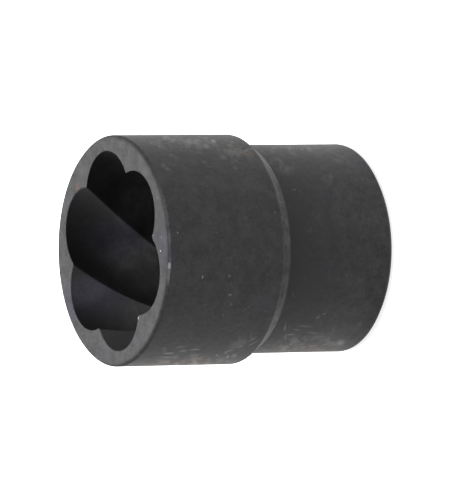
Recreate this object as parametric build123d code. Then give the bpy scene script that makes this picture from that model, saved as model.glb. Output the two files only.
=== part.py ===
"""Screw extractor socket: one turned steel body with left-hand tapered spiral flutes.

The socket stands on its drive end. The origin is the centre of the drive-end face, +Z runs
along the axis towards the fluted mouth, and every length is in millimetres.
"""
from build123d import *
import os
from math import radians, tan

# Outside of the body
overall_length = 38.0
front_diameter = 33.0
front_length = 18.7
front_rim_chamfer = 0.4
drive_end_diameter = 30.0
shoulder_cone_length = 2.0
shoulder_fillet = 0.5
drive_end_chamfer_radial = 1.1
drive_end_chamfer_axial = 0.85
drive_end_round = 0.7

# Spiral flutes: the radii are at the mouth, and the taper is per side
flute_count = 6
flute_root_radius = 14.35
flute_crest_radius = 11.75
flute_depth = 15.5
flute_lead = 96.0
flute_taper = 5.2
flute_bands = 12

# Relief bore below the flutes, reached over a conical ledge
relief_diameter = 19.6
relief_depth = 19.0
ledge_slope = 30.0

# Female square drive, its turned lead-in and its ball recesses
square_nominal = 12.7
square_clearance = 0.15
square_depth = 16.0
square_corner_radius = 0.8
lead_in_diameter = 17.4
lead_in_angle = 45.0
detent_ball_diameter = 5.6
detent_recess_depth = 0.7
detent_height = 8.0
sides_of_square = 4

# Round passage between the square and the relief bore
passage_diameter = 11.0

# Each cutter runs this far past the face that it opens
overrun = 1.0

upright = (Align.CENTER, Align.CENTER, Align.MIN)


def slope(angle):
    """Rise per millimetre of a face that leans by an angle in degrees."""
    return tan(radians(angle))


def turned_body():
    """Revolve the outside: drive-end barrel, conical shoulder and front barrel."""
    drive_radius = drive_end_diameter / 2
    front_radius = front_diameter / 2
    shoulder_top = overall_length - front_length
    shoulder_root = (drive_radius, shoulder_top - shoulder_cone_length)
    chamfer_end = (drive_radius, drive_end_chamfer_axial)
    section = make_face(
        Polyline(
            (0, 0),
            (drive_radius - drive_end_chamfer_radial, 0),
            chamfer_end,
            shoulder_root,
            (front_radius, shoulder_top),
            (front_radius, overall_length - front_rim_chamfer),
            (front_radius - front_rim_chamfer, overall_length),
            (0, overall_length),
            close=True,
        )
    )
    section = fillet(section.vertices().sort_by_distance(shoulder_root)[0], shoulder_fillet)
    section = fillet(section.vertices().sort_by_distance(chamfer_end)[0], drive_end_round)
    return revolve(Plane.XZ * section, Axis.Z)


def flute_section(depth):
    """Bore outline at a depth below the mouth: concave arcs that meet in sharp crests."""
    narrowing = depth * slope(flute_taper)
    pitch = 360 / flute_count
    root = (flute_root_radius - narrowing, 0)
    crest = Vector(flute_crest_radius - narrowing, 0)
    flute = ThreePointArc(crest.rotate(Axis.Z, -pitch / 2), root, crest.rotate(Axis.Z, pitch / 2))
    outline = Wire([Rot(0, 0, turn * pitch) * flute for turn in range(flute_count)])
    # Turning anticlockwise on the way down makes the twist left-hand
    return Pos(0, 0, overall_length - depth) * Rot(0, 0, 360 * depth / flute_lead) * outline


def fluted_bore():
    """Twist and narrow the flutes in ruled bands, and end them on the conical ledge."""
    ledge_radius = flute_root_radius - flute_depth * slope(flute_taper)
    ledge_drop = ledge_radius * slope(ledge_slope)
    ledge_height = overall_length - flute_depth
    # The last section lies inside the relief bore
    length = overrun + flute_depth + (ledge_radius - relief_diameter / 2) * slope(ledge_slope) + overrun / 5
    depths = [length * band / flute_bands - overrun for band in range(flute_bands + 1)]
    twist = Solid.make_loft([flute_section(depth) for depth in depths], ruled=True)
    top = overall_length + overrun
    outside = flute_root_radius + overrun
    envelope = make_face(
        Polyline(
            (0, top),
            (outside, top),
            (outside, ledge_height),
            (ledge_radius, ledge_height),
            (0, ledge_height - ledge_drop),
            close=True,
        )
    )
    return twist & revolve(Plane.XZ * envelope, Axis.Z)


def relief_bore():
    """Plain round pocket below the flutes, cut up into them."""
    height = relief_depth - flute_depth + overrun
    return Pos(0, 0, overall_length - relief_depth) * Cylinder(relief_diameter / 2, height, align=upright)


def square_drive():
    """Square socket with its conical lead-in and a ball recess in the middle of each flat."""
    width = square_nominal + square_clearance
    square = Pos(0, 0, -overrun) * extrude(
        RectangleRounded(width, width, square_corner_radius), square_depth + overrun
    )
    lead_in_radius = lead_in_diameter / 2
    lead_in = Cone(lead_in_radius, 0, lead_in_radius / slope(lead_in_angle), align=upright)
    ball_radius = detent_ball_diameter / 2
    ball_offset = width / 2 + detent_recess_depth - ball_radius
    # Half a turn keeps the sphere's seam inside the square
    ball = Pos(ball_offset, 0, detent_height) * Rot(0, 0, 180) * Sphere(ball_radius)
    balls = [Rot(0, 0, side * 360 / sides_of_square) * ball for side in range(sides_of_square)]
    return square + lead_in + balls


def passage():
    """Round hole from the end of the square to the floor of the relief bore."""
    length = overall_length - relief_depth - square_depth + 2 * overrun
    return Pos(0, 0, square_depth - overrun) * Cylinder(passage_diameter / 2, length, align=upright)


def extractor_socket():
    """Cut the flutes, the relief, the square and the passage out of the turned body."""
    return turned_body() - fluted_bore() - relief_bore() - square_drive() - passage()


os.makedirs("parts", exist_ok=True)
export_step(extractor_socket(), "parts/extractor_socket.step")
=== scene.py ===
"""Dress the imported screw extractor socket: fine mesh, dark phosphate finish, floor, light and camera."""
from math import atan2, ceil, cos, degrees, hypot, pi, radians, sin, sqrt, tan

import bmesh
import bpy
from bpy.props import FloatProperty, FloatVectorProperty, IntProperty, PointerProperty
from mathutils import Matrix, Vector


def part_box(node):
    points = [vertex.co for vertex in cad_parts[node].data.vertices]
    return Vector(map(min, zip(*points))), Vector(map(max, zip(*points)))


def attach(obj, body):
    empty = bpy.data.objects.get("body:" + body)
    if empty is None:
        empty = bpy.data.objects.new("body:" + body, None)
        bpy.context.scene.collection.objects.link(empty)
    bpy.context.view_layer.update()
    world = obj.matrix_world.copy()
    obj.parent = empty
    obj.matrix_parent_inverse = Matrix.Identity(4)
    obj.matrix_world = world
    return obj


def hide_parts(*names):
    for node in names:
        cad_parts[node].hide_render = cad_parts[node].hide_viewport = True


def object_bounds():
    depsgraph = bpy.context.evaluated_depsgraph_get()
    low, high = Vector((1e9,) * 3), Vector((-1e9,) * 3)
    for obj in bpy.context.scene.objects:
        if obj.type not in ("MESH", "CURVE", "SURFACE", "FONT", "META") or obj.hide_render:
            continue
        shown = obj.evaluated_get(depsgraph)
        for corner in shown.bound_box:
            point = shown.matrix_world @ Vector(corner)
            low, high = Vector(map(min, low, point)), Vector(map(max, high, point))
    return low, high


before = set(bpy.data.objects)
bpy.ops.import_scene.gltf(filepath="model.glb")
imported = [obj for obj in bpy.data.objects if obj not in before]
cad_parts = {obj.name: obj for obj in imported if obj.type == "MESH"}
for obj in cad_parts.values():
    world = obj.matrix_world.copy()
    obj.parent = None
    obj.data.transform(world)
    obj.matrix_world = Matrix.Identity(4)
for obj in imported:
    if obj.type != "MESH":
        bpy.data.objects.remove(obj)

bl_info = {
    "name": "Screw extractor socket",
    "version": (1, 0, 0),
    "blender": (4, 5, 0),
    "location": "View3D > Sidebar > Extractor",
    "description": "Builds a fluted screw extractor socket with its finish, floor, light and camera",
    "category": "Object",
}

NODE = "extractor_socket"
CAD_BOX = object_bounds()
NODE_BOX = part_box(NODE)
MILLIMETRE = 0.001

# Outside of the mesh: the short edges beside each round, how long an edge is that gets them, the edges
# in a round, and the ring where the outside meets an end face
SUPPORT = 0.06 * MILLIMETRE
LONG_EDGE = 6 * SUPPORT
ROUND_SEGMENTS = 5
FACE_EDGE = 0.25 * MILLIMETRE

# How far the columns of the bore crowd together at the crests
CROWDING = 0.6

# Round where the flutes meet the mouth face: its radius, the ring outside it and its steps
MOUTH_EDGE = 0.08 * MILLIMETRE
MOUTH_SUPPORT = 1.7 * MOUTH_EDGE
MOUTH_STEPS = 4

# Rows down the flutes, with the first and the last as shares of a row
ROW_HEIGHT = 0.45 * MILLIMETRE
FIRST_ROW = 0.15
LAST_ROW = 0.1

# Steps that find the depth at which a column meets the ledge
LEDGE_STEPS = 12

# Rings on the ledge and on the cone of the lead-in, as shares of the way down
LEDGE_SHARES = (0.05, 0.5, 0.95, 1)
CONE_SHARES = (0, 0.04, 0.96, 1)

# Spacing of the rings round each edge below the flutes
RING_STEP = 0.05 * MILLIMETRE

# Rows across the ball recesses, and how far they reach past them
BALL_ROWS = 30
BALL_MARGIN = 0.2 * MILLIMETRE

# Vertices of the two walls that lie closer than this are one
MERGE_DISTANCE = 0.001 * MILLIMETRE

# Turn that puts the seam of the unrolled wall at 140 degrees
SEAM_TURN = 40

# Sockets of a Mix node for colours, by number because their names come more than once
MIX_FACTOR = 0
MIX_FIRST = 6
MIX_SECOND = 7
MIX_COLOUR = 2


def length_property(name, description, millimetres):
    """Length that a user may change, held in metres."""
    return FloatProperty(
        name=name, description=description, default=millimetres * MILLIMETRE, unit="LENGTH", precision=5
    )


def angle_property(name, description, degrees_value):
    """Angle that a user may change, held in radians."""
    return FloatProperty(name=name, description=description, default=radians(degrees_value), subtype="ANGLE")


def colour_property(name, description, value):
    """Linear colour that a user may change."""
    return FloatVectorProperty(
        name=name, description=description, default=value, size=3, min=0, max=1, subtype="COLOR"
    )


class ExtractorSizes(bpy.types.PropertyGroup):
    """Sizes of the socket, the same as in the CAD model."""

    overall_length: FloatProperty(
        name="Overall length",
        description="From the drive end to the fluted mouth",
        default=NODE_BOX[1][2] - NODE_BOX[0][2],
        unit="LENGTH",
    )
    front_diameter: FloatProperty(
        name="Front diameter",
        description="Across the barrel round the flutes",
        default=round(NODE_BOX[1][1] - NODE_BOX[0][1], 4),
        unit="LENGTH",
    )
    front_length: length_property("Front length", "Straight length of the front barrel", 18.7)
    rim_chamfer: length_property("Rim chamfer", "Chamfer round the outside of the mouth", 0.4)
    drive_diameter: length_property("Drive-end diameter", "Across the barrel round the square", 30.0)
    shoulder_length: length_property("Shoulder length", "Height of the cone between the barrels", 2.0)
    shoulder_fillet: length_property("Shoulder fillet", "Radius at the foot of the shoulder", 0.5)
    chamfer_radial: length_property("End chamfer, radial", "Width of the drive-end chamfer", 1.1)
    chamfer_axial: length_property("End chamfer, axial", "Height of the drive-end chamfer", 0.85)
    chamfer_round: length_property("End chamfer round", "Radius where that chamfer meets the barrel", 0.7)
    edge_round: length_property("Edge round", "Radius of the other outside edges", 0.12)
    flute_count: IntProperty(name="Flutes", description="Number of flutes round the bore", default=6, min=3)
    flute_root: length_property("Flute root radius", "Radius at the bottom of a flute at the mouth", 14.35)
    flute_crest: length_property("Flute crest radius", "Radius of a sharp crest at the mouth", 11.75)
    crest_round: length_property("Crest round", "Radius that blunts each crest", 0.3)
    flute_depth: length_property("Flute depth", "From the mouth to the ledge below the flutes", 15.5)
    flute_lead: length_property("Flute lead", "Depth in which a flute would turn once", 96.0)
    flute_taper: angle_property("Flute taper", "Lean of the flutes on each side", 5.2)
    ledge_slope: angle_property("Ledge slope", "Slope of the cone that ends the flutes", 30.0)
    relief_diameter: length_property("Relief diameter", "Across the bore below the flutes", 19.6)
    relief_depth: length_property("Relief depth", "From the mouth to the floor of that bore", 19.0)
    passage_diameter: length_property("Passage diameter", "Across the hole above the square", 11.0)
    square_width: length_property("Square width", "Across the flats of the drive", 12.85)
    square_depth: length_property("Square depth", "From the drive end to the end of the square", 16.0)
    square_corner: length_property("Square corner radius", "Radius in the corners of the square", 0.8)
    lead_in_diameter: length_property("Lead-in diameter", "Across the cone that opens the square", 17.4)
    ball_diameter: length_property("Ball diameter", "Across the ball that cuts a recess", 5.6)
    ball_recess: length_property("Ball recess depth", "Depth of a recess in the middle of a flat", 0.7)
    ball_height: length_property("Ball recess height", "From the drive end to the middle of a recess", 8.0)
    columns: IntProperty(name="Columns", description="Faces round the mesh", default=384, min=96)


class ExtractorColours(bpy.types.PropertyGroup):
    """Colours of the finish and the stage."""

    coat: colour_property("Coat", "Dark phosphate coat", (0.0136, 0.0136, 0.0136))
    violet: colour_property("Violet cast", "Coat where it leans to violet", (0.0142, 0.0134, 0.0185))
    rubbed: colour_property("Rubbed coat", "Coat where handling has worn it", (0.17, 0.163, 0.155))
    rubbed_warm: colour_property("Rubbed coat, warm", "Rubbed coat along the underside", (0.24, 0.185, 0.145))
    bare: colour_property("Bare steel", "Steel in the nicks and scratches", (0.5, 0.49, 0.48))
    tint: colour_property("Warm cast", "Coat where it leans to brown", (0.0215, 0.0145, 0.0125))
    floor: colour_property("Floor", "Plain pale floor", (0.82, 0.82, 0.82))


def sizes():
    return bpy.context.scene.extractor_sizes


def colours():
    return bpy.context.scene.extractor_colours


def add_object(name, data):
    """Put a mesh, lamp or camera into the scene."""
    item = bpy.data.objects.new(name, data)
    bpy.context.scene.collection.objects.link(item)
    return item


class Flow:
    """Value or colour in a node tree. Its operators add Math nodes."""

    def __init__(self, tree, socket):
        self.tree = tree
        self.socket = socket

    def node(self, kind, inputs, output=0, **settings):
        """Add any node: its settings first, then the values or links of its sockets."""
        node = self.tree.nodes.new(kind)
        for name, value in settings.items():
            setattr(node, name, value)
        for name, value in inputs.items():
            if isinstance(value, Flow):
                self.tree.links.new(value.socket, node.inputs[name])
            else:
                node.inputs[name].default_value = value
        return Flow(self.tree, node.outputs[output])

    def maths(self, operation, *values):
        return self.node("ShaderNodeMath", dict(enumerate(values)), operation=operation)

    def __add__(self, other):
        return self.maths("ADD", self, other)

    def __sub__(self, other):
        return self.maths("SUBTRACT", self, other)

    def __rsub__(self, other):
        return self.maths("SUBTRACT", other, self)

    def __mul__(self, other):
        return self.maths("MULTIPLY", self, other)

    def __truediv__(self, other):
        return self.maths("DIVIDE", self, other)

    def __rtruediv__(self, other):
        return self.maths("DIVIDE", other, self)

    __radd__ = __add__
    __rmul__ = __mul__

    def power(self, exponent):
        return self.maths("POWER", self, exponent)

    def size(self):
        return self.maths("ABSOLUTE", self)

    def most(self, other):
        return self.maths("MAXIMUM", self, other)

    def between(self, low, high):
        """Value that is low where this mask is 0 and high where it is 1."""
        return self * (high - low) + low

    def band(self, low, high):
        """Smooth step from 0 at low to 1 at high; low may be the larger."""
        return self.node(
            "ShaderNodeMapRange",
            {"Value": self, "From Min": low, "From Max": high},
            interpolation_type="SMOOTHSTEP",
            clamp=False,
        )

    def axes(self):
        """The x, y and z of a place."""
        node = self.node("ShaderNodeSeparateXYZ", {"Vector": self}).socket.node
        return [Flow(self.tree, socket) for socket in node.outputs]

    def mix(self, first, second):
        """First colour where this mask is 0, second where it is 1."""
        first, second = (value if isinstance(value, Flow) else (*value, 1) for value in (first, second))
        return self.node(
            "ShaderNodeMix",
            {MIX_FACTOR: self, MIX_FIRST: first, MIX_SECOND: second},
            output=MIX_COLOUR,
            data_type="RGBA",
        )

    def times(self, colour):
        """Colour made paler or darker by this value."""
        grey = self.node("ShaderNodeCombineColor", {channel: self for channel in range(3)})
        return self.node(
            "ShaderNodeMix",
            {MIX_FACTOR: 1.0, MIX_FIRST: colour, MIX_SECOND: grey},
            output=MIX_COLOUR,
            data_type="RGBA",
            blend_type="MULTIPLY",
        )


def new_material(name):
    """New material and its shader."""
    material = bpy.data.materials.new(name)
    material.use_nodes = True
    shader = next(node for node in material.node_tree.nodes if node.type == "BSDF_PRINCIPLED")
    return material, shader


def grain(place, per_metre, detail, roughness, stretch=1.0, lean=0.0, offset=(0, 0, 0)):
    """Noise between 0 and 1 at a scale given per metre, drawn out along a leaning line if asked."""
    spot = place.node(
        "ShaderNodeMapping",
        {"Vector": place, "Location": offset, "Rotation": (0, 0, radians(lean)), "Scale": (stretch, 1, 1)},
        vector_type="TEXTURE",
    )
    return place.node(
        "ShaderNodeTexNoise",
        {"Vector": spot, "Scale": per_metre, "Detail": detail, "Roughness": roughness},
    )


def specks(place, per_metre, share, radius):
    """Small spots, one at most in a cell, in the given share of the cells."""
    settings = {"Vector": place, "Scale": per_metre, "Randomness": 1.0}
    distance = place.node("ShaderNodeTexVoronoi", settings)
    cell_colour = place.node("ShaderNodeTexVoronoi", settings, output="Color")
    chance = place.node("ShaderNodeSeparateColor", {"Color": cell_colour})
    edge = radius * per_metre
    least = 1 - share
    return distance.band(edge, edge / 2) * chance.band(least, least + 0.02)


def unroll(place, height):
    """Wall laid flat: metres round the front barrel, then a height. Its seam is at 140 degrees."""
    turned = place.node("ShaderNodeMapping", {"Vector": place, "Rotation": (0, 0, radians(SEAM_TURN))})
    x, y, _ = turned.axes()
    round_it = (x.maths("ARCTAN2", y, x) - radians(SEAM_TURN)) * (sizes().front_diameter / 2)
    return place.node("ShaderNodeCombineXYZ", {"X": round_it, "Y": height})


def mark(flat, angle, height, half_round, half_high, lean=0.0):
    """Distance from the middle of an oval on the unrolled wall, 1 at its outline."""
    middle = (radians(angle) * sizes().front_diameter / 2, height * MILLIMETRE, 0)
    grow = (1 / (half_round * MILLIMETRE), 1 / (half_high * MILLIMETRE), 0)
    if lean:
        turn = {"Vector": flat, "Center": middle, "Angle": radians(-lean)}
        flat = flat.node("ShaderNodeVectorRotate", turn, rotation_type="Z_AXIS")
    shift = tuple(-centre * scale for centre, scale in zip(middle, grow))
    inside = flat.node("ShaderNodeVectorMath", {0: flat, 1: grow, 2: shift}, operation="MULTIPLY_ADD")
    return inside.node("ShaderNodeVectorMath", {0: inside}, output="Value", operation="LENGTH")


def marks(flat, table, soft=0.9):
    """Union of the ovals of a table, each with its strength in the last column."""
    union = None
    for *shape, strength in table:
        oval = mark(flat, *shape).band(1.0, 1.0 - soft) * strength
        union = oval if union is None else union.most(oval)
    return union


def strokes(flat, table):
    """Thin scratches from end to end, as one union."""
    per_degree = radians(1) * sizes().front_diameter / 2 / MILLIMETRE
    rows = []
    for angle, height, end_angle, end_height, half_width, strength in table:
        round_it = (end_angle - angle) * per_degree
        along = end_height - height
        middle = ((angle + end_angle) / 2, (height + end_height) / 2)
        lean = degrees(atan2(along, round_it))
        rows.append((*middle, hypot(round_it, along) / 2, half_width, lean, strength))
    return marks(flat, rows)


# Nicks of the wall: middle in degrees and millimetres, half-size round the wall and along it, lean in
# degrees, strength
NICKS = (
    (-112.3, 32.34, 0.34, 0.10, 0, 0.6),
    (-90.2, 36.42, 0.18, 0.18, 0, 0.35),
    (-112.0, 28.01, 0.36, 0.32, 20, 0.13),
    (-121.7, 27.44, 0.18, 0.45, 0, 0.2),
    (-126.8, 26.94, 0.25, 0.20, 0, 0.15),
    (-133.1, 27.72, 0.25, 0.20, 0, 0.1),
    (-131.2, 20.92, 0.22, 0.18, 0, 0.12),
    (-82.8, 19.12, 0.20, 0.16, 0, 0.3),
    (-74.1, 18.51, 0.16, 0.16, 0, 0.3),
    (-29.4, 24.46, 1.20, 0.46, -27, 0.13),
    (-25.1, 25.0, 0.80, 0.50, -40, 0.1),
    (-164.8, 24.95, 0.70, 0.26, 25, 0.2),
    (-162.6, 23.79, 0.50, 0.26, 25, 0.2),
    (-166.8, 22.85, 0.90, 0.26, 25, 0.25),
    (-139.4, 18.0, 0.20, 0.12, 0, 0.12),
    (-80.6, 20.2, 0.18, 0.16, 0, 0.13),
    (-65.1, 15.1, 0.20, 0.18, 0, 0.22),
    (-166.0, 5.0, 1.4, 0.6, 25, 0.09),
    (-170.0, 9.5, 1.2, 0.5, 25, 0.1),
    (-105.4, 22.2, 0.22, 0.20, 0, 0.07),
    (-102.0, 21.8, 0.20, 0.22, 0, 0.07),
)

# Soft pale blots where the coat is rubbed, in the same columns
BLOTS = (
    (-35.5, 26.6, 1.50, 0.75, -27, 0.75),
    (-29.4, 24.46, 1.50, 0.70, -27, 0.6),
    (-22.5, 31.3, 1.80, 0.50, -24, 0.7),
    (-20.1, 30.6, 1.50, 0.40, -24, 0.6),
    (-35.2, 34.1, 1.10, 0.35, -27, 0.5),
    (-32.0, 35.0, 1.20, 0.50, -27, 0.4),
    (-30.8, 29.0, 0.80, 1.30, -70, 0.5),
    (-44.1, 33.5, 0.50, 0.50, 0, 0.4),
    (-46.0, 33.0, 0.40, 0.40, 0, 0.4),
    (-52.4, 35.8, 0.80, 0.60, -30, 0.4),
    (-54.5, 35.4, 0.60, 0.60, 0, 0.35),
    (-41.8, 28.6, 0.60, 0.50, 0, 0.4),
    (-49.7, 28.9, 0.50, 0.50, 0, 0.35),
    (-46.1, 25.3, 1.10, 0.80, -30, 0.35),
    (-48.9, 23.7, 0.45, 0.55, 0, 0.4),
    (-31.2, 21.7, 0.70, 0.35, -27, 0.5),
    (-35.1, 22.6, 1.30, 0.80, -27, 0.4),
    (-41.5, 22.9, 1.00, 0.90, -27, 0.35),
    (-54.7, 24.4, 0.60, 0.50, 0, 0.3),
    (-38.9, 19.9, 0.60, 0.90, 0, 0.5),
    (-165.5, 31.5, 1.40, 0.60, 25, 0.5),
    (-169.0, 27.0, 1.60, 0.60, 25, 0.5),
    (-166.0, 22.0, 1.60, 0.70, 25, 0.6),
    (-157.5, 34.5, 1.20, 0.50, 25, 0.4),
    (-164.5, 4.2, 2.0, 1.1, 25, 1.2),
    (-146.0, 3.3, 1.10, 0.80, 0, 0.3),
)

# Scratches: both ends in degrees and millimetres, half-width, strength
SCRATCHES = (
    (-141.8, 11.11, -138.2, 10.5, 0.17, 1.0),
    (-138.4, 10.55, -136.7, 9.64, 0.15, 0.9),
    (-131.5, 24.9, -129.0, 24.2, 0.09, 0.6),
    (-129.0, 24.2, -128.0, 23.8, 0.09, 0.5),
    (-142.5, 15.8, -152.0, 15.2, 0.30, 0.6),
    (-151.0, 15.1, -162.0, 13.6, 0.36, 0.45),
    (-153.8, 15.0, -154.0, 12.6, 0.42, 0.6),
    (-157.0, 12.5, -161.2, 12.0, 0.34, 0.6),
    (-161.2, 12.3, -161.4, 11.1, 0.38, 0.7),
    (-158.5, 10.2, -161.0, 10.9, 0.34, 0.6),
    (-163.6, 12.9, -166.5, 11.9, 0.28, 0.7),
    (-167.6, 9.1, -167.6, 7.2, 0.34, 0.8),
    (-167.6, 7.2, -164.8, 5.6, 0.28, 0.9),
    (-145.8, 14.1, -147.7, 10.5, 0.34, 0.35),
    (-151.1, 12.0, -154.2, 8.7, 0.36, 0.4),
    (-148.5, 14.6, -150.5, 12.2, 0.30, 0.35),
    (-157.5, 9.6, -156.0, 6.6, 0.42, 0.4),
    (-160.5, 8.4, -158.5, 6.0, 0.46, 0.5),
    (-122.9, 16.7, -124.3, 16.2, 0.09, 0.4),
    (-123.9, 16.5, -125.4, 16.0, 0.09, 0.4),
    (-125.0, 16.3, -126.4, 15.8, 0.09, 0.35),
    (-161.2, 34.4, -161.2, 32.2, 0.42, 1.0),
    (-159.4, 32.1, -158.6, 30.4, 0.40, 0.8),
    (-158.2, 30.6, -157.6, 28.4, 0.36, 1.0),
    (-165.5, 34.8, -166.5, 30.5, 0.45, 0.7),
    (-164.5, 30.0, -163.0, 27.5, 0.40, 0.6),
    (-155.5, 33.5, -154.5, 31.0, 0.30, 0.5),
    (-162.0, 24.5, -158.4, 22.8, 0.36, 0.8),
    (-158.4, 22.8, -153.4, 22.0, 0.34, 0.8),
    (-153.4, 22.0, -147.0, 20.4, 0.28, 0.7),
    (-157.4, 21.6, -150.0, 19.8, 0.28, 0.5),
    (-42.1, 22.0, -38.9, 19.6, 0.26, 0.6),
)

# Rubbed, violet and warm patches of the wall, in the columns of the nicks
RUBBED_PATCHES = (
    (-30, 29, 4.4, 9.5, 0, 1.0),
    (-43, 23, 3.8, 4.5, 0, 0.8),
    (-28, 10, 4.4, 8.0, 0, 0.8),
    (-46, 15, 3.2, 2.8, 0, 0.9),
    (-40, 5, 2.6, 3.4, 0, 0.7),
    (70, 27, 4.5, 7.0, 0, 0.3),
    (-58, 8.5, 2.2, 2.6, 0, 0.5),
)

LOWER_RUBBED_PATCHES = (
    (-153, 22.5, 3.4, 3.4, 0, 0.7),
    (-176, 28, 5.6, 11.0, 0, 1.3),
    (-166, 10, 5.4, 9.0, 0, 1.2),
    (-150, 8, 3.2, 6.0, 0, 0.5),
    (118, 11, 4.5, 6.0, 0, 0.3),
)

VIOLET_PATCHES = (
    (-70.2, 31.8, 1.3, 0.8, 0, 0.9),
    (-61.5, 24.4, 1.3, 0.9, 0, 1.3),
    (-66.0, 37.2, 1.5, 0.6, 0, 0.7),
    (-83.1, 28.2, 1.1, 0.9, 0, 1.0),
    (-109.0, 26.1, 1.9, 1.1, 0, 0.9),
    (-105.0, 11.0, 6.0, 3.5, 0, 0.4),
    (-98.0, 38.0, 7.0, 2.0, 0, 0.6),
    (72.0, 31.0, 7.0, 7.5, 0, 0.85),
    (112.0, 35.0, 6.0, 6.5, 0, 1.6),
)

# The three long bands at -17 and -177 degrees run along the outlines of the barrels and paint the warm sheen
# seen there at grazing angles; the small ovals are warm casts of the coat
WARM_PATCHES = (
    (-17.0, 29.0, 2.2, 11.0, 0, 0.25),
    (-177.0, 29.0, 4.0, 11.0, 0, 1.2),
    (-43.0, 21.2, 1.4, 1.2, 0, 1.0),
    (-177.0, 9.0, 4.0, 9.0, 0, 1.0),
    (-162.5, 3.2, 1.2, 1.2, 0, 0.3),
)

# Painted pools of light on flute walls, in the same columns
PAINTED_FLUTE_LIGHT = (
    (107.0, 36.5, 3.6, 4.5, 0, 2.0),
    (83.0, 27.5, 4.6, 6.0, 0, 1.0),
    (20.0, 35.0, 6.0, 4.5, 0, 1.6),
    (50.0, 28.5, 5.0, 4.5, 0, 0.7),
    (-137.0, 33.5, 4.5, 6.0, 0, 0.5),
)

# Specks on the mouth face, in the same columns but with the distance from the axis in place of the height
FACE_SPECKS = (
    (-90.6, 11.85, 0.16, 0.16, 0, 0.6),
    (-88.6, 12.15, 0.14, 0.14, 0, 0.5),
    (-92.4, 12.2, 0.14, 0.20, 0, 0.5),
    (-99.2, 14.1, 0.17, 0.22, 0, 1.0),
    (-91.4, 14.56, 0.10, 0.16, 0, 0.6),
    (-69.9, 15.3, 0.17, 0.22, 0, 0.25),
    (-176.0, 13.6, 0.20, 0.30, 0, 0.3),
)

# Single ovals on the unrolled wall or mouth face, in the same columns without a strength
# The first oval is painted shade on one side of the mouth face, round -95 degrees
PAINTED_SHADE_FACE_SIDE = (-95, 14, 10, 6)
WARM_FACE_SPOT = (38, 13.6, 2.1, 0.8, 31)
BURR = (-151.2, 11.9, 0.35, 0.45, 20)
KEPT_SHOULDER_EDGE = (-98, 18, 14, 8)

# Ovals across the rim: angle, half-size round the rim and across it
# The first oval holds a painted highlight on the rim chamfer
RIM_PAINTED_HIGHLIGHT = (-89, 7.5, 5)
RIM_SPOT = (-106.5, 0.65, 4.0)
RIM_TAIL = (-111, 1.9, 4.0)

# Painted light and shade, as shares added to or taken from the coat's plain colour, from one place to another
# Painted shade in the corner below the shoulder, growing paler towards the drive end
PAINTED_SHADE_CORNER_TO_DRIVE_END = (-0.95, 1.75)
# Painted shade on the rim chamfer, turning to a painted highlight
PAINTED_RIM_SHADE_TO_HIGHLIGHT = (-0.35, 0.75)

# The coat as a multiple of its plain colour: painted shade at the mouth of the flutes turning to painted
# light deep down, then on the mouth face a paler coat, partly its own and partly painted light, less painted
# shade along the near rim of that face and on its right side
PAINTED_BORE_LIGHT = (0.7, 1.9)
# The mouth face's shade is partly its own paler coat and partly painted light
FACE_SHADE = 2.46
FACE_RIM_PAINTED_SHADE = 0.7
FACE_SIDE_PAINTED_SHADE = 0.55

# Strength of the mottling, from broad clouds down to crystals
CLOUDS = 1.2
MOTTLES = 5.0
CRYSTALS = 1.8

# Lean of the rubbing, in degrees from straight round the barrel
RUB_LEAN = 27

# The coat itself, and the height of its relief
COAT_ROUGHNESS = 0.58
COAT_SPECULAR = 0.28
BUMP_HEIGHT = 0.05 * MILLIMETRE


class Surface:
    """Places on the socket for its finish: coordinates, walls laid flat, masks of faces, and grain."""

    def __init__(self, place):
        size = sizes()
        drive = size.drive_diameter / 2
        self.front = size.front_diameter / 2
        self.mouth = size.overall_length
        self.shoulder_top = self.mouth - size.front_length
        self.shoulder_foot = self.shoulder_top - size.shoulder_length
        fillet_top = self.shoulder_foot + 0.4 * MILLIMETRE

        self.place = place
        x, self.y, self.z = place.axes()
        self.radius = (x * x + self.y * self.y).power(0.5)
        self.flat = unroll(place, self.z)
        self.flat_face = unroll(place, self.radius)

        self.outside = self.radius.band(drive - 0.5 * MILLIMETRE, drive - 0.3 * MILLIMETRE)
        self.face = self.z.band(self.mouth - 0.2 * MILLIMETRE, self.mouth - 0.1 * MILLIMETRE)
        self.shown = self.outside.most(self.face)
        self.drive_barrel = self.z.band(fillet_top, self.shoulder_foot)
        # Mask of the shoulder cone, which carries painted light on that cone
        below_top = self.z.band(self.shoulder_top, self.shoulder_top - 0.2 * MILLIMETRE)
        self.cone = below_top * self.z.band(self.shoulder_foot, fillet_top)

        self.cloud = grain(place, per_metre=210, detail=3, roughness=0.6)
        self.mottle = grain(place, per_metre=500, detail=3, roughness=0.8, offset=(0.31, 0.12, 0.05))
        self.crystal = grain(place, per_metre=3200, detail=2, roughness=0.6)
        self.chipped = grain(place, per_metre=1700, detail=3, roughness=0.6, offset=(0.7, 0.1, 0.3))

    def rim_mark(self, angle, half_round, half_across):
        """Oval across the rim of the mouth."""
        return mark(self.flat, angle, self.mouth / MILLIMETRE, half_round, half_across)


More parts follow.
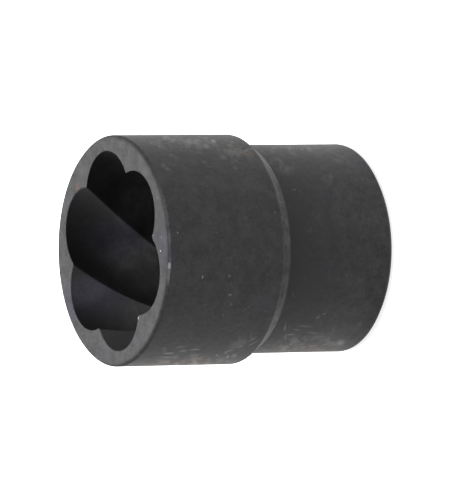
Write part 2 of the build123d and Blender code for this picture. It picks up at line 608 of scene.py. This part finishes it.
def painted_light_and_shade(on):
    """Painted light and shade, with the face's own paler coat: pale on the mouth face, shoulder and deep
    flutes, dark under the shoulder.
    """
    # Painted shade in the corner below the shoulder, growing paler towards the drive end
    below_shoulder = (on.shoulder_foot - on.z) / on.shoulder_foot
    # Adding the cone mask paints light on the shoulder cone
    outer = 1 + on.drive_barrel * below_shoulder.between(*PAINTED_SHADE_CORNER_TO_DRIVE_END) + on.cone
    # Painted shade on the rim chamfer, turning to a painted highlight round -89 degrees
    chamfer_foot = on.mouth - sizes().rim_chamfer
    rim = on.z.band(chamfer_foot - 0.1 * MILLIMETRE, chamfer_foot + 0.05 * MILLIMETRE)
    rim_highlight = on.rim_mark(*RIM_PAINTED_HIGHLIGHT).band(1.0, 0.6)
    outer = outer * (1 + rim * rim_highlight.between(*PAINTED_RIM_SHADE_TO_HIGHLIGHT))

    # Painted shade at the mouth of the flutes turning to painted light deep down, with painted pools of light
    # on some flute walls
    depth = on.z.band(on.mouth - 1 * MILLIMETRE, on.mouth - 10 * MILLIMETRE)
    inner = depth.between(*PAINTED_BORE_LIGHT) * (1 + marks(on.flat, PAINTED_FLUTE_LIGHT, soft=0.7))

    # Mouth face: a paler coat, partly its own colour and partly painted light, with painted shade along its
    # rim on the near side and on its right side
    shaded_face_rim = on.radius.band(on.front - 0.9 * MILLIMETRE, on.front - 0.5 * MILLIMETRE)
    shaded_face_rim = shaded_face_rim * on.y.band(4 * MILLIMETRE, -4 * MILLIMETRE)
    shaded_face_side = mark(on.flat_face, *PAINTED_SHADE_FACE_SIDE).band(1.0, 0.2)
    on_face = FACE_SHADE - shaded_face_rim * FACE_RIM_PAINTED_SHADE - shaded_face_side * FACE_SIDE_PAINTED_SHADE
    return (outer * on.outside + inner * (1 - on.outside)) * (1 - on.face) + on.face * on_face


def coat_tone(on):
    """Painted light and shade of the coat with its mottling, which is quieter inside the bore."""
    spread = (on.cloud - 0.5) * CLOUDS + (on.mottle - 0.5) * MOTTLES + (on.crystal - 0.5) * CRYSTALS
    lively = on.shown.between(0.35, 1) * on.drive_barrel.between(1, 0.7) * on.face.between(1, 0.6)
    return (1 + spread * lively) * painted_light_and_shade(on)


def warm_cast(on):
    """Mask of the faint warm casts, and of a painted warm sheen along the outlines of the barrels."""
    face_spot = mark(on.flat_face, *WARM_FACE_SPOT).band(1.0, 0.1) * on.face
    return marks(on.flat, WARM_PATCHES).most(face_spot) * (0.4 + on.cloud)


def coat_colour(on, warm):
    """Plain colour of the coat with its faint violet and warm casts and its painted warm sheen."""
    colour = colours()
    haze = grain(on.place, per_metre=330, detail=1, roughness=0.5, offset=(0.6, 0.2, 0.8))
    violet = marks(on.flat, VIOLET_PATCHES).most(haze.band(0.6, 0.7) * 0.5)
    return warm.mix((violet * (0.5 + on.cloud)).mix(colour.coat, colour.violet), colour.tint)


def rubbed_coat(on):
    """Mask of what handling has rubbed: smears, blots drawn out round the barrel, and scratches."""
    smear = grain(on.place, per_metre=300, detail=4, roughness=0.7, offset=(0.2, 0.4, 0.1))
    flecks = grain(on.place, per_metre=1500, detail=2, roughness=0.6, offset=(0.1, 0.7, 0.3))
    rubbed = smear.band(0.5, 0.75) * flecks.band(0.45, 0.75) * 0.2
    for table, lean in ((RUBBED_PATCHES, -RUB_LEAN), (LOWER_RUBBED_PATCHES, RUB_LEAN)):
        drawn = grain(
            on.flat, per_metre=600, detail=3, roughness=0.6, stretch=2.2, lean=lean, offset=(0.4, 0.6, 0.1)
        )
        rubbed = rubbed.most(marks(on.flat, table) * drawn.band(0.44, 0.66) * 0.45)
    rubbed = rubbed.most(marks(on.flat, BLOTS, soft=1.0) * flecks.band(0.3, 0.7).between(0.5, 1))
    scratched = strokes(on.flat, SCRATCHES) * flecks.band(0.3, 0.6).between(0.6, 1)
    return rubbed.most(scratched) * on.outside


def worn_shoulder(on):
    """Mask of the shoulder's two edges, where the coat is chipped."""
    top = (on.z - on.shoulder_top).size().band(0.3 * MILLIMETRE, 0.05 * MILLIMETRE)
    above_foot = on.z - (on.shoulder_foot + 0.2 * MILLIMETRE)
    foot = above_foot.size().band(0.3 * MILLIMETRE, 0.1 * MILLIMETRE) * 0.5
    worn = top.most(foot) * on.outside * on.chipped.band(0.4, 0.6).between(0.22, 0.38)
    return worn * mark(on.flat, *KEPT_SHOULDER_EDGE).band(1.0, 0.6).between(1, 0.25)


def worn_rim(on):
    """Mask of the bright spot and its pale tail on the chamfer of the rim."""
    chamfer_middle = on.mouth - sizes().rim_chamfer * 0.6
    chamfer = (on.z - chamfer_middle).size().band(0.22 * MILLIMETRE, 0.1 * MILLIMETRE)
    chamfer = chamfer * on.radius.band(on.front - 0.7 * MILLIMETRE, on.front - 0.4 * MILLIMETRE)
    spot = on.rim_mark(*RIM_SPOT).band(1.0, 0.3)
    tail = on.rim_mark(*RIM_TAIL).band(1.0, 0.2) * 0.35
    return spot.most(tail) * chamfer * on.chipped.band(0.3, 0.6).between(0.6, 1)


def bare_nicks(on):
    """Mask of bare steel: fine specks, nicks on the wall, specks on the mouth face, and the burr."""
    fine = specks(on.place, per_metre=520, share=0.06, radius=0.12 * MILLIMETRE)
    finer = specks(on.place, per_metre=1100, share=0.02, radius=0.08 * MILLIMETRE)
    nicks = fine.most(finer * 0.7) * 0.25 * on.shown
    nicks = nicks.most(marks(on.flat, NICKS) * on.outside).most(worn_rim(on) * 0.35)
    nicks = nicks.most(marks(on.flat_face, FACE_SPECKS) * on.face)
    near_mouth = on.z.band(on.mouth - 0.5 * MILLIMETRE, on.mouth - 0.3 * MILLIMETRE)
    return nicks.most(mark(on.flat_face, *BURR).band(1.0, 0.3) * near_mouth)


def phosphate_finish():
    """Matte dark coat: mottled, rubbed by handling, with nicks, scratches and a worn spot on the rim."""
    colour = colours()
    material, shader = new_material("phosphate coat")
    tree = material.node_tree
    on = Surface(Flow(tree, tree.nodes.new("ShaderNodeTexCoord").outputs["Object"]))
    warm = warm_cast(on)
    rubbed = rubbed_coat(on)
    worn = worn_shoulder(on)
    nicks = bare_nicks(on)

    base = coat_tone(on).times(coat_colour(on, warm))
    base = (rubbed * 0.8).mix(base, warm.mix(colour.rubbed, colour.rubbed_warm))
    base = nicks.mix(worn.mix(base, colour.rubbed), colour.bare)
    rough = COAT_ROUGHNESS - rubbed * 0.1 - worn * 0.1 - nicks * 0.2 + on.mottle * 0.16
    hills = grain(on.place, per_metre=1100, detail=1, roughness=0.5, offset=(0.5, 0.3, 0.9))
    height = (hills + on.crystal * 0.08 - nicks * 0.3) * on.shown.between(0.15, 1)
    bump = hills.node("ShaderNodeBump", {"Height": height, "Strength": 1.0, "Distance": BUMP_HEIGHT})
    looks = {"Base Color": base, "Roughness": rough, "Metallic": nicks * 0.5, "Normal": bump}
    for name, flow in looks.items():
        tree.links.new(flow.socket, shader.inputs[name])
    shader.inputs["Specular IOR Level"].default_value = COAT_SPECULAR
    return material


def column_angle(number):
    """Angle of a mesh column: columns crowd together at the crests between the flutes."""
    size = sizes()
    turn = 2 * pi * number / size.columns
    return turn + CROWDING / size.flute_count * sin(size.flute_count * turn)


def flute_radius(angle, depth):
    """Radius of the fluted bore at an angle from a flute's middle and a depth below the mouth."""
    size = sizes()
    narrowing = depth * tan(size.flute_taper)
    root = size.flute_root - narrowing
    crest = size.flute_crest - narrowing
    half = pi / size.flute_count
    away = (angle + half) % (2 * half) - half
    centre = (root**2 - crest**2) / (2 * (root - crest * cos(half)))
    lobe = root - centre
    reach = lobe + size.crest_round
    tip_centre = centre * cos(half) + sqrt(reach**2 - (centre * sin(half)) ** 2)
    from_crest = half - abs(away)
    touch_x = centre + (tip_centre * cos(half) - centre) * lobe / reach
    touch_y = tip_centre * sin(half) * lobe / reach
    if from_crest < half - atan2(touch_y, touch_x):
        return tip_centre * cos(from_crest) - sqrt(size.crest_round**2 - (tip_centre * sin(from_crest)) ** 2)
    return centre * cos(away) + sqrt(lobe**2 - (centre * sin(away)) ** 2)


def square_radius(angle):
    """Radius of the rounded square at an angle from the middle of a flat."""
    size = sizes()
    half = size.square_width / 2
    away = abs((angle + pi / 4) % (pi / 2) - pi / 4)
    inner = half - size.square_corner
    if half * tan(away) <= inner:
        return half / cos(away)
    corner = inner * sqrt(2)
    from_corner = pi / 4 - away
    return corner * cos(from_corner) + sqrt(size.square_corner**2 - (corner * sin(from_corner)) ** 2)


def polar(radius, angle, height):
    return Vector((radius * cos(angle), radius * sin(angle), height))


def turned_outside(bm):
    """Spin the outside from the drive face to the mouth face."""
    size = sizes()
    front = size.front_diameter / 2
    drive = size.drive_diameter / 2
    mouth = size.overall_length
    shoulder = mouth - size.front_length
    corners = [
        (drive - size.chamfer_radial - FACE_EDGE, 0, 0),
        (drive - size.chamfer_radial, 0, size.edge_round),
        (drive, size.chamfer_axial, size.chamfer_round),
        (drive, shoulder - size.shoulder_length, size.shoulder_fillet),
        (front, shoulder, size.edge_round),
        (front, mouth - size.rim_chamfer, size.edge_round),
        (front - size.rim_chamfer, mouth, size.edge_round),
        (front - size.rim_chamfer - FACE_EDGE, mouth, 0),
    ]
    verts = [bm.verts.new((radius, 0, height)) for radius, height, _ in corners]
    for pair in zip(verts, verts[1:]):
        bm.edges.new(pair)
    for vert, (_, _, rounding) in zip(verts, corners):
        if rounding:
            before, after = [edge.other_vert(vert).co - vert.co for edge in vert.link_edges]
            bmesh.ops.bevel(
                bm,
                geom=[vert],
                affect="VERTICES",
                offset=rounding / tan(before.angle(after) / 2),
                segments=ROUND_SEGMENTS,
                profile=0.5,
                material=-1,
            )
    # Short edges beside each round keep its shading off the long faces
    for edge in [edge for edge in bm.edges if edge.calc_length() > LONG_EDGE]:
        length = edge.calc_length()
        first, second = edge.verts
        _, near = bmesh.utils.edge_split(edge, first, SUPPORT / length)
        rest = next(piece for piece in near.link_edges if piece.other_vert(near) == second)
        bmesh.utils.edge_split(rest, second, SUPPORT / rest.calc_length())
    profile = bm.verts[:] + bm.edges[:]
    bmesh.ops.spin(
        bm, geom=profile, cent=(0, 0, 0), axis=(0, 0, 1), angle=2 * pi, steps=size.columns, use_merge=True
    )


class Bore:
    """Wall of the hole from the mouth to the drive end, extruded ring by ring.

    Each vertex keeps the number of its column, and a place method says where a column lies.
    """

    def __init__(self, bm):
        size = sizes()
        self.bm = bm
        self.size = size
        self.mouth = size.overall_length
        self.relief = size.relief_diameter / 2
        self.cone = size.lead_in_diameter / 2
        self.turn_rate = 2 * pi / size.flute_lead
        self.ledge_radius = size.flute_root - size.flute_depth * tan(size.flute_taper)
        self.ledge_foot = self.ledge_depth(self.relief)
        self.final_turn = self.turn_rate * self.ledge_foot
        self.shift = round(self.final_turn / (2 * pi / size.columns))
        self.ends = [self.flute_end(column) for column in range(size.columns)]
        self.layer = bm.verts.layers.int.new("column")
        rim = size.front_diameter / 2 - size.rim_chamfer - FACE_EDGE
        verts = bmesh.ops.create_circle(bm, segments=size.columns, radius=rim)["verts"]
        for vert in verts:
            column = round(atan2(vert.co.y, vert.co.x) % (2 * pi) * size.columns / (2 * pi)) % size.columns
            vert[self.layer] = column
            vert.co = polar(rim, 2 * pi * column / size.columns, self.mouth)
        self.edges = list(dict.fromkeys(edge for vert in verts for edge in vert.link_edges))

    def extend(self, place, *where):
        """Extrude the last ring and put each new vertex where its column belongs."""
        grown = bmesh.ops.extrude_edge_only(self.bm, edges=self.edges)["geom"]
        for part in grown:
            if isinstance(part, bmesh.types.BMVert):
                part.co = place(part[self.layer], *where)
        self.edges = [part for part in grown if isinstance(part, bmesh.types.BMEdge)]

    def ledge_depth(self, radius):
        """Depth of the conical ledge below the mouth at a radius."""
        return self.size.flute_depth + (self.ledge_radius - radius) * tan(self.size.ledge_slope)

    def flute_end(self, column):
        """Depth at which a column of the flutes meets the ledge, found step by step."""
        depth = self.size.flute_depth
        for _ in range(LEDGE_STEPS):
            depth = self.ledge_depth(flute_radius(column_angle(column), depth))
        return depth

    def flute_place(self, column, depth, outwards=0.0):
        """On the wall of the flutes, or a little outside it."""
        angle = column_angle(column)
        radius = flute_radius(angle, depth) + outwards
        return polar(radius, angle + self.turn_rate * depth, self.mouth - depth)

    def edge_place(self, column, turn):
        """On the small round between the mouth face and the flutes."""
        spot = self.flute_place(column, 0, MOUTH_EDGE * (1 - sin(turn)))
        spot.z -= MOUTH_EDGE * (1 - cos(turn))
        return spot

    def share_place(self, column, share):
        """Part of the way down the flutes, from the round at the mouth to the ledge."""
        return self.flute_place(column, MOUTH_EDGE + (self.ends[column] - MOUTH_EDGE) * share)

    def ledge_place(self, column, share):
        """Part of the way down the ledge, from the flutes to the relief bore."""
        start = flute_radius(column_angle(column), self.ends[column])
        radius = start + (self.relief - start) * share
        turn = self.turn_rate * self.ends[column] * (1 - share) + self.final_turn * share
        return polar(radius, column_angle(column) + turn, self.mouth - self.ledge_depth(radius))

    def relief_place(self, column, radius, depth):
        """On a ring of the relief bore, whose columns go on from the flutes."""
        return polar(radius, column_angle(column) + self.final_turn, self.mouth - depth)

    def even_angle(self, column):
        """Angle of a column below the relief bore, where columns are evenly spaced."""
        return 2 * pi * (column + self.shift) / self.size.columns

    def ring_place(self, column, radius, height):
        """On a plain ring below the relief bore."""
        return polar(radius, self.even_angle(column), height)

    def square_place(self, column, height, inwards=0.0):
        """On the square, or in the recess that a detent ball cuts in the middle of each flat."""
        size = self.size
        ball = size.ball_diameter / 2
        ball_centre = size.square_width / 2 + size.ball_recess - ball
        angle = self.even_angle(column)
        quarter = Matrix.Rotation(round(angle / (pi / 2)) * pi / 2, 3, "Z")
        spot = quarter.transposed() @ polar(square_radius(angle) - inwards, angle, height)
        inside_ball = ball**2 - spot.y**2 - (height - size.ball_height) ** 2
        if inside_ball > 0:
            spot.x = max(spot.x, ball_centre + sqrt(inside_ball))
        return quarter @ spot

    def above_cone_place(self, column):
        """On the square, just above the cone of the lead-in."""
        spot = self.square_place(column, 0)
        spot.z = max(self.cone - hypot(spot.x, spot.y), 2 * RING_STEP) + RING_STEP
        return spot

    def cone_place(self, column, share):
        """Part of the way down the cone, from the square to the drive face."""
        angle = self.even_angle(column)
        start = min(square_radius(angle), self.cone - 2 * RING_STEP)
        radius = start + (self.cone - start) * share
        return polar(radius, angle, self.cone - radius)

    def cut_flutes(self):
        """Break the edge of the mouth and run the flutes down to the ledge."""
        self.extend(self.flute_place, 0, MOUTH_SUPPORT)
        self.extend(self.flute_place, 0, MOUTH_EDGE)
        for step in range(1, MOUTH_STEPS):
            self.extend(self.edge_place, step * pi / 2 / MOUTH_STEPS)
        rows = ceil(self.size.flute_depth / ROW_HEIGHT)
        inner_rows = [row / rows for row in range(1, rows)]
        for share in (0, FIRST_ROW / rows, *inner_rows, 1 - LAST_ROW / rows, 1):
            self.extend(self.share_place, share)

    def cut_relief(self):
        """Close the flutes with the ledge, and cut the relief bore with its rounded corner."""
        for share in LEDGE_SHARES:
            self.extend(self.ledge_place, share)
        floor = self.size.relief_depth
        for radius, depth in (
            (self.relief, self.ledge_foot + RING_STEP),
            (self.relief, floor - 5 * RING_STEP),
            (self.relief - 2 * RING_STEP, floor - 2 * RING_STEP),
            (self.relief - 5 * RING_STEP, floor),
            (self.relief - 7 * RING_STEP, floor),
        ):
            self.extend(self.relief_place, radius, depth)

    def cut_passage(self):
        """Run the passage from the floor of the relief bore to the end of the square."""
        radius = self.size.passage_diameter / 2
        floor = self.mouth - self.size.relief_depth
        end = self.size.square_depth
        for outwards, height in (
            (4, floor),
            (3, floor),
            (0, floor - 3 * RING_STEP),
            (0, floor - 4 * RING_STEP),
            (0, end + RING_STEP),
            (0, end),
            (1, end),
        ):
            self.extend(self.ring_place, radius + outwards * RING_STEP, height)

    def cut_square(self):
        """Run the square down past its ball recesses and open it with the cone of the lead-in."""
        size = self.size
        end = size.square_depth
        self.extend(self.square_place, end, RING_STEP)
        self.extend(self.square_place, end)
        self.extend(self.square_place, end - RING_STEP)
        ball = size.ball_diameter / 2
        reach = sqrt(ball**2 - (ball - size.ball_recess) ** 2) + BALL_MARGIN
        for row in range(BALL_ROWS + 1):
            self.extend(self.square_place, size.ball_height + reach - 2 * reach * row / BALL_ROWS)
        self.extend(self.above_cone_place)
        for share in CONE_SHARES:
            self.extend(self.cone_place, share)
        self.extend(self.ring_place, self.cone + RING_STEP, 0)
        self.extend(self.ring_place, size.drive_diameter / 2 - size.chamfer_radial - FACE_EDGE, 0)


def socket_mesh():
    """One closed mesh: the turned outside, the bores, and the two end faces that join them."""
    bm = bmesh.new()
    turned_outside(bm)
    bore = Bore(bm)
    bore.cut_flutes()
    bore.cut_relief()
    bore.cut_passage()
    bore.cut_square()
    bmesh.ops.remove_doubles(bm, verts=bm.verts[:], dist=MERGE_DISTANCE)
    bmesh.ops.recalc_face_normals(bm, faces=bm.faces[:])
    for face in bm.faces:
        face.smooth = True
    open_edges = [edge for edge in bm.edges if not edge.is_manifold]
    if open_edges:
        raise RuntimeError(f"the socket mesh has {len(open_edges)} open edges")
    mesh = bpy.data.meshes.new("socket")
    bm.to_mesh(mesh)
    bm.free()
    return mesh


class EXTRACTOR_OT_socket(bpy.types.Operator):
    """Build the socket with its finish in place of the plain CAD node"""

    bl_idname = "extractor.socket"
    bl_label = "Socket"
    bl_options = {"REGISTER", "UNDO"}

    def execute(self, context):
        mesh = socket_mesh()
        mesh.materials.append(phosphate_finish())
        piece = add_object("socket", mesh)
        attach(piece, "root")
        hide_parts(NODE)
        return {"FINISHED"}


# Frame of the view: right, up and towards the viewer, for a socket that lies on its side in the picture
TOWARDS = Vector((-0.132387, -0.859318, 0.494010)).normalized()
UP = Vector((0.987185, -0.159111, -0.012221)).normalized()
RIGHT = UP.cross(TOWARDS).normalized()
CAMERA_PLACE = Vector((-0.152999, -0.992511, 0.590128))
CAMERA_LENS = 579.98
CAMERA_CLIP = (0.05, 20)

# Each light: direction as shares of right, up and towards, then distance, side of its square and power
LIGHTS = {
    "mouth softbox": ((-1.0, 0.0, 0.2), 0.5, 0.3, 4.2),
    "front softbox": ((-0.8, 0.3, 1.0), 0.7, 0.35, 2.6),
}
WORLD_LIGHT = 0.05
FLOOR_SIZE = 4
FLOOR_ROUGHNESS = 0.9
FLOOR_SPECULAR = 0.1
FLOOR_GLOW = 0.85


def seen_directly(tree):
    """1 for camera, glossy and transmission rays, so that the stage looks white but lights nothing."""
    path = tree.nodes.new("ShaderNodeLightPath")
    seen = Flow(tree, path.outputs["Is Camera Ray"])
    seen = seen.most(Flow(tree, path.outputs["Is Glossy Ray"]))
    return seen.most(Flow(tree, path.outputs["Is Transmission Ray"]))


def stage_world():
    """Even light from all round, pure white where it is seen directly."""
    world = bpy.data.worlds.new("studio")
    bpy.context.scene.world = world
    world.use_nodes = True
    tree = world.node_tree
    background = next(node for node in tree.nodes if node.type == "BACKGROUND")
    background.inputs["Color"].default_value = (1, 1, 1, 1)
    strength = seen_directly(tree).between(WORLD_LIGHT, 1)
    tree.links.new(strength.socket, background.inputs["Strength"])


def stage_floor():
    """Pale floor under the drive end that looks white and keeps a soft shadow."""
    bm = bmesh.new()
    bmesh.ops.create_grid(bm, x_segments=1, y_segments=1, size=FLOOR_SIZE)
    mesh = bpy.data.meshes.new("floor")
    bm.to_mesh(mesh)
    bm.free()
    floor = add_object("floor", mesh)
    floor.location.z = CAD_BOX[0][2]
    material, shader = new_material("floor")
    tree = material.node_tree
    shader.inputs["Base Color"].default_value = (*colours().floor, 1)
    shader.inputs["Roughness"].default_value = FLOOR_ROUGHNESS
    shader.inputs["Specular IOR Level"].default_value = FLOOR_SPECULAR
    shader.inputs["Emission Strength"].default_value = 1.0
    glow = seen_directly(tree).mix((0, 0, 0), (FLOOR_GLOW,) * 3)
    tree.links.new(glow.socket, shader.inputs["Emission Color"])
    mesh.materials.append(material)


def stage_lights():
    """Large soft lights round the middle of the socket."""
    middle = Vector((0, 0, sizes().overall_length / 2))
    for name, ((right, up, towards), distance, side, power) in LIGHTS.items():
        way = (RIGHT * right + UP * up + TOWARDS * towards).normalized()
        lamp = bpy.data.lights.new(name, "AREA")
        lamp.size = side
        lamp.energy = power
        light = add_object(name, lamp)
        light.location = middle + way * distance
        light.rotation_euler = way.to_track_quat("Z", "Y").to_euler()


def stage_camera():
    """Long lens, rolled so that the standing socket lies in the picture with its mouth to the left."""
    camera = bpy.data.cameras.new("camera")
    camera.lens = CAMERA_LENS
    camera.clip_start, camera.clip_end = CAMERA_CLIP
    holder = add_object("camera", camera)
    turn = Matrix((RIGHT, UP, TOWARDS)).transposed().to_4x4()
    holder.matrix_world = Matrix.Translation(CAMERA_PLACE) @ turn
    bpy.context.scene.camera = holder


class EXTRACTOR_OT_stage(bpy.types.Operator):
    """Set out the pale floor, the studio light and the camera"""

    bl_idname = "extractor.stage"
    bl_label = "Stage"
    bl_options = {"REGISTER", "UNDO"}

    def execute(self, context):
        context.scene.view_settings.view_transform = "Standard"
        stage_world()
        stage_floor()
        stage_lights()
        stage_camera()
        return {"FINISHED"}


class EXTRACTOR_PT_panel(bpy.types.Panel):
    """Sizes, colours and steps of the socket"""

    bl_label = "Screw extractor socket"
    bl_idname = "EXTRACTOR_PT_panel"
    bl_space_type = "VIEW_3D"
    bl_region_type = "UI"
    bl_category = "Extractor"

    def draw(self, context):
        layout = self.layout
        for group in (context.scene.extractor_sizes, context.scene.extractor_colours):
            box = layout.box()
            for name in group.__annotations__:
                box.prop(group, name)
        layout.operator("extractor.socket")
        layout.operator("extractor.stage")


CLASSES = (ExtractorSizes, ExtractorColours, EXTRACTOR_OT_socket, EXTRACTOR_OT_stage, EXTRACTOR_PT_panel)


def register():
    for item in CLASSES:
        bpy.utils.register_class(item)
    bpy.types.Scene.extractor_sizes = PointerProperty(type=ExtractorSizes)
    bpy.types.Scene.extractor_colours = PointerProperty(type=ExtractorColours)


def unregister():
    del bpy.types.Scene.extractor_colours
    del bpy.types.Scene.extractor_sizes
    for item in reversed(CLASSES):
        bpy.utils.unregister_class(item)


def main():
    register()
    bpy.ops.extractor.socket()
    bpy.ops.extractor.stage()


if __name__ == "__main__":
    main()
